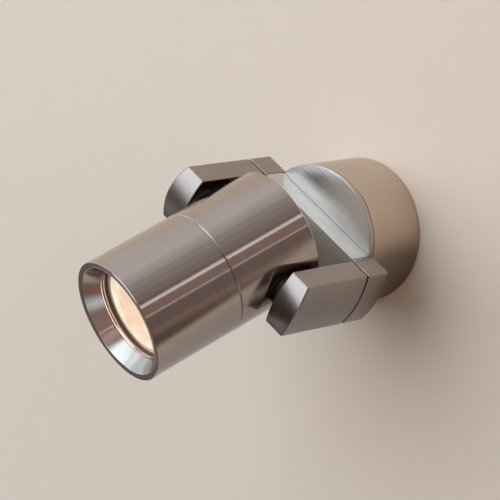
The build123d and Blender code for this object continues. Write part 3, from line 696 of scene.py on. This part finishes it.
def paintReflectionShade(tree, look):
    (x, z), (reachX, reachZ) = look["centre"], look["reach"]
    place = addNode(tree, "ShaderNodeTexCoord")
    shift, scale = (-x / reachX, 0, -z / reachZ), (1 / reachX, 0, 1 / reachZ)
    fit = addNode(tree, "ShaderNodeMapping", Location=shift, Scale=scale)
    ball = addNode(tree, "ShaderNodeTexGradient", gradient_type="SPHERICAL")
    fade = addNode(tree, "ShaderNodeMapRange", interpolation_type="SMOOTHSTEP")
    fade.inputs["From Max"].default_value = look["solid"]
    fade.inputs["To Max"].default_value = look["depth"]
    path = addNode(tree, "ShaderNodeLightPath")
    reflectionShadeMask = addNode(tree, "ShaderNodeMath", operation="MULTIPLY")
    tree.links.new(place.outputs["Object"], fit.inputs["Vector"])
    tree.links.new(fit.outputs["Vector"], ball.inputs["Vector"])
    tree.links.new(ball.outputs["Fac"], fade.inputs["Value"])
    tree.links.new(fade.outputs["Result"], reflectionShadeMask.inputs[0])
    tree.links.new(path.outputs["Is Glossy Ray"], reflectionShadeMask.inputs[1])
    # painted reflection: glossy rays see the wall darker beside the canopy and greyer below the tube
    paint = tree.nodes["Principled BSDF"].inputs["Base Color"]
    shaded = blendColours(tree, reflectionShadeMask.outputs[0], paint.links[0].from_socket, look["colour"])
    tree.links.new(shaded, paint)


def makeWall(look, paintedShades):
    bpy.ops.object.select_all(action="DESELECT")
    bpy.ops.mesh.primitive_circle_add(vertices=facets["wallHole"], radius=look["hole"],
                                      location=(0, look["gap"], 0), rotation=(pi / 2, 0, 0))
    wall = bpy.context.object
    wall.name = "wall"
    bpy.ops.object.transform_apply(location=True, rotation=True)
    bpy.ops.object.mode_set(mode="EDIT")
    bpy.ops.mesh.select_all(action="SELECT")
    for grow in look["grow"]:  # rings of faces outwards, round the hole behind the canopy
        bpy.ops.mesh.extrude_edges_move(TRANSFORM_OT_translate={"value": (0, 0, 0)})
        bpy.ops.transform.resize(value=(grow, 1, grow), center_override=(0, look["gap"], 0))
    edges = (((look["right"], 0, 0), (1, 0, 0)), ((-look["left"], 0, 0), (-1, 0, 0)),
             ((0, 0, look["up"]), (0, 0, 1)), ((0, 0, -look["down"]), (0, 0, -1)))
    for place, out in edges:  # trims the panel to its four edges
        bpy.ops.mesh.select_all(action="SELECT")
        bpy.ops.mesh.bisect(plane_co=place, plane_no=out, clear_outer=True)
    bpy.ops.mesh.select_all(action="SELECT")
    bpy.ops.mesh.normals_make_consistent(inside=False)
    bpy.ops.object.mode_set(mode="OBJECT")
    if wall.data.polygons[0].normal.y > 0:
        wall.data.flip_normals()
    material = plainFinish("wallPaint", look["light"], look["dark"], look["scale"], look["roughness"])
    tree = material.node_tree
    for shade in paintedShades.values():
        paintReflectionShade(tree, shade)
    seenFrom = addNode(tree, "ShaderNodeNewGeometry")  # lets a view from behind the wall show the light
    clear = addNode(tree, "ShaderNodeBsdfTransparent")
    swap = addNode(tree, "ShaderNodeMixShader")
    tree.links.new(seenFrom.outputs["Backfacing"], swap.inputs["Fac"])
    tree.links.new(tree.nodes["Principled BSDF"].outputs["BSDF"], swap.inputs[1])
    tree.links.new(clear.outputs["BSDF"], swap.inputs[2])
    tree.links.new(swap.outputs["Shader"], tree.nodes["Material Output"].inputs["Surface"])
    wall.data.materials.append(material)
    return wall


makeWall(wallLook, paintedReflectionShades)


def directionTo(azimuth, elevation):
    a, e = radians(azimuth), radians(elevation)
    return Vector((sin(a) * cos(e), -cos(a) * cos(e), sin(e)))


def fadeEdges(lamp, soft):
    half = 0.5  # a panel's own measure runs from 0 to 1
    lamp.use_nodes = True
    tree = lamp.node_tree
    place = addNode(tree, "ShaderNodeNewGeometry")
    split = addNode(tree, "ShaderNodeSeparateXYZ")
    tree.links.new(place.outputs["Parametric"], split.inputs["Vector"])
    both = addNode(tree, "ShaderNodeMath", operation="MULTIPLY")
    for i, axis in enumerate("XY"):
        fromMiddle = addNode(tree, "ShaderNodeMath", operation="SUBTRACT")
        fromMiddle.inputs[1].default_value = half
        reach = addNode(tree, "ShaderNodeMath", operation="ABSOLUTE")
        fade = addNode(tree, "ShaderNodeMapRange", interpolation_type="SMOOTHSTEP")
        fade.inputs["From Min"].default_value = half * (1 - soft[i])
        fade.inputs["From Max"].default_value = half
        fade.inputs["To Min"].default_value = 1.0
        fade.inputs["To Max"].default_value = 0.0
        tree.links.new(split.outputs[axis], fromMiddle.inputs[0])
        tree.links.new(fromMiddle.outputs[0], reach.inputs[0])
        tree.links.new(reach.outputs[0], fade.inputs["Value"])
        tree.links.new(fade.outputs["Result"], both.inputs[i])
    tree.links.new(both.outputs[0], tree.nodes["Emission"].inputs["Strength"])


def softLight(name, place, facing, size, radiance, along, colour, soft=None):
    lamp = bpy.data.lights.new(name, "AREA")
    lamp.shape = "RECTANGLE"
    lamp.size, lamp.size_y = size
    lamp.energy = radiance * pi * size[0] * size[1]
    lamp.color = colour
    if soft:
        fadeEdges(lamp, soft)
    light = bpy.data.objects.new(name, lamp)
    bpy.context.scene.collection.objects.link(light)
    z = -facing.normalized()
    x = (along - along.dot(z) * z).normalized()
    light.matrix_world = Matrix.Translation(place) @ Matrix((x, z.cross(x), z)).transposed().to_4x4()
    light.visible_camera = False
    return light


middle = Vector((0, -0.08, 0))
streak = Vector((0.141, -0.973, -0.183))  # the way a light has to run to show as a thin line along the tube
daylight = (0.95, 1.0, 1.09)
rosy = (1.0, 0.52, 0.42)
tan = (1.0, 0.7, 0.62)
warm = (1.36, 1.0, 0.74)
cool = (0.93, 1.0, 1.06)
sky = (0.88, 1.0, 1.12)
# panels that the wall is lit by
wallPanels = {
    "wallKey": {"azimuth": -32, "elevation": 28, "away": 3.2, "size": (5.4, 3.7), "radiance": 2.3,
                "colour": cool},
    "wallRight": {"azimuth": 70, "elevation": 18, "away": 3.2, "size": (2.2, 2.2), "radiance": 1.5,
                  "colour": warm}}
# panels that the metal mirrors
mirrorPanels = {
    "keyPanel": {"azimuth": -16, "elevation": 16, "away": 1.6, "size": (1.5, 1.7), "radiance": 2.1,
                 "colour": sky, "soft": (0.5, 0.3)},
    "leftPanel": {"azimuth": -74, "elevation": 25, "away": 1.6, "size": (2.0, 1.6), "radiance": 0.9,
                  "colour": sky, "soft": (0.3, 0.3)},
    "topPanel": {"azimuth": 2, "elevation": 58, "away": 1.6, "size": (0.9, 0.6), "radiance": 1.3,
                 "soft": (0.3, 0.3)},
    "sidePanel": {"azimuth": -60, "elevation": -22, "away": 1.6, "size": (0.6, 0.7), "radiance": 0.2,
                  "soft": (0.4, 0.5)},
    "lowPanel": {"azimuth": 51, "elevation": -45, "away": 1.2, "size": (1.0, 1.0), "radiance": 0.95,
                 "soft": (1.0, 1.0)},
    "floorPanel": {"azimuth": 60, "elevation": -78, "away": 1.2, "size": (1.2, 1.2), "radiance": 0.32,
                   "colour": rosy, "soft": (0.6, 0.6)},
    "rosyPanel": {"azimuth": 32, "elevation": -6, "away": 1.8, "size": (1.3, 1.9), "radiance": 0.27,
                  "colour": rosy, "soft": (0.5, 0.5)},
    "tanPanel": {"azimuth": 19, "elevation": 16, "away": 1.8, "size": (0.9, 0.9), "radiance": 0.5,
                 "colour": tan, "soft": (0.8, 0.8)},
    "mouthLine": {"azimuth": 29, "elevation": 4.4, "away": 1.8, "size": (0.6, 0.024), "radiance": 1.8,
                  "along": Vector((0.66, 0.52, 0.60))},
    "rightStrip": {"azimuth": 92, "elevation": 30.2, "away": 2.4, "size": (2.0, 0.18), "radiance": 0.85,
                   "along": streak},
    "rightEdge": {"azimuth": 92, "elevation": 28.4, "away": 2.4, "size": (2.0, 0.04), "radiance": 1.1,
                  "along": streak},
    "rightRosy": {"azimuth": 95, "elevation": 20, "away": 2.4, "size": (2.0, 0.5), "radiance": 0.13,
                  "along": streak, "colour": rosy},
    "rightLow": {"azimuth": 109, "elevation": -13, "away": 2.4, "size": (2.0, 0.45), "radiance": 0.1,
                 "along": streak, "colour": rosy},
    "rightLine": {"azimuth": 97, "elevation": 12.5, "away": 2.4, "size": (2.0, 0.05), "radiance": 1.0,
                  "along": streak}}
for name, panel in {**wallPanels, **mirrorPanels}.items():
    way = directionTo(panel["azimuth"], panel["elevation"])
    along = panel.get("along", directionTo(panel["azimuth"] + 90, 0))
    light = softLight(name, middle + way * panel["away"], -way, panel["size"], panel["radiance"], along,
                      panel.get("colour", daylight), panel.get("soft"))
    light.visible_glossy = name in mirrorPanels
    light.visible_diffuse = name in wallPanels
# the lit lamp's own light, which stays with its lens
lampLight = {"height": 0.0632, "size": (0.036, 0.036), "radiance": 2.2, "colour": (1.0, 0.72, 0.58)}
bpy.context.view_layer.update()
glow = softLight("lampLight", headSeat @ Vector((0, 0, lampLight["height"])), headSeat.col[2].to_3d(),
                 lampLight["size"], lampLight["radiance"], headSeat.col[0].to_3d(), lampLight["colour"])
glow.data.shape = "ELLIPSE"
glow.parent = litFront
glow.matrix_parent_inverse = litFront.matrix_world.inverted()
# the ceiling light fades to the right
ceiling = {"height": 1.2, "front": -1.45, "back": 0.55, "edges": (-1.5, 0.12, 0.28, 0.48, 0.75, 1.1, 1.6),
           "radiance": (0.6, 0.5, 0.4, 0.25, 0.18, 0.11)}
for left, right, radiance in zip(ceiling["edges"], ceiling["edges"][1:], ceiling["radiance"]):
    place = Vector(((left + right) / 2, (ceiling["front"] + ceiling["back"]) / 2, ceiling["height"]))
    softLight("ceilingPanel", place, Vector((0, 0, -1)), (right - left, ceiling["back"] - ceiling["front"]),
              radiance, Vector((1, 0, 0)), daylight)


room = {"front": (0.15, 0.135, 0.13), "left": (0.17, 0.155, 0.15), "right": (0.22, 0.18, 0.165),
        "low": (0.02, 0.017, 0.015), "frontFade": (-0.75, -0.3), "sideFade": (-0.6, 0.1),
        "lowFade": (-0.75, -0.15)}


def makeWorld(look):
    world = bpy.data.worlds.new("room")
    bpy.context.scene.world = world
    world.use_nodes = True
    tree = world.node_tree
    way = addNode(tree, "ShaderNodeTexCoord")
    split = addNode(tree, "ShaderNodeSeparateXYZ")
    tree.links.new(way.outputs["Generated"], split.inputs["Vector"])
    fades = {}
    for axis, key in (("Y", "frontFade"), ("X", "sideFade"), ("Z", "lowFade")):
        fade = fades[key] = addNode(tree, "ShaderNodeMapRange")
        fade.inputs["From Min"].default_value, fade.inputs["From Max"].default_value = look[key]
        tree.links.new(split.outputs[axis], fade.inputs["Value"])
    right = blendColours(tree, fades["lowFade"].outputs["Result"], look["low"], look["right"])
    side = blendColours(tree, fades["sideFade"].outputs["Result"], look["left"], right)
    colour = blendColours(tree, fades["frontFade"].outputs["Result"], look["front"], side)
    tree.links.new(colour, tree.nodes["Background"].inputs["Color"])


makeWorld(room)

cameraPlace = {"location": (0.7298, -0.9149, 0.1650), "look": (-0.6523, 0.7434, -0.1484),
               "lens": 173.85, "sensor": 36, "clipStart": 0.01}


def makeCamera(place):
    camera = bpy.data.cameras.new("camera")
    camera.sensor_width = place["sensor"]
    camera.lens = place["lens"]
    camera.clip_start = place["clipStart"]
    seen = bpy.data.objects.new("camera", camera)
    bpy.context.scene.collection.objects.link(seen)
    seen.location = place["location"]
    seen.rotation_euler = Vector(place["look"]).to_track_quat("-Z", "Y").to_euler()
    bpy.context.scene.camera = seen


makeCamera(cameraPlace)
bpy.context.scene.view_settings.view_transform = "Standard"
print("wall, light and camera ready")

bpy.context.view_layer.update()
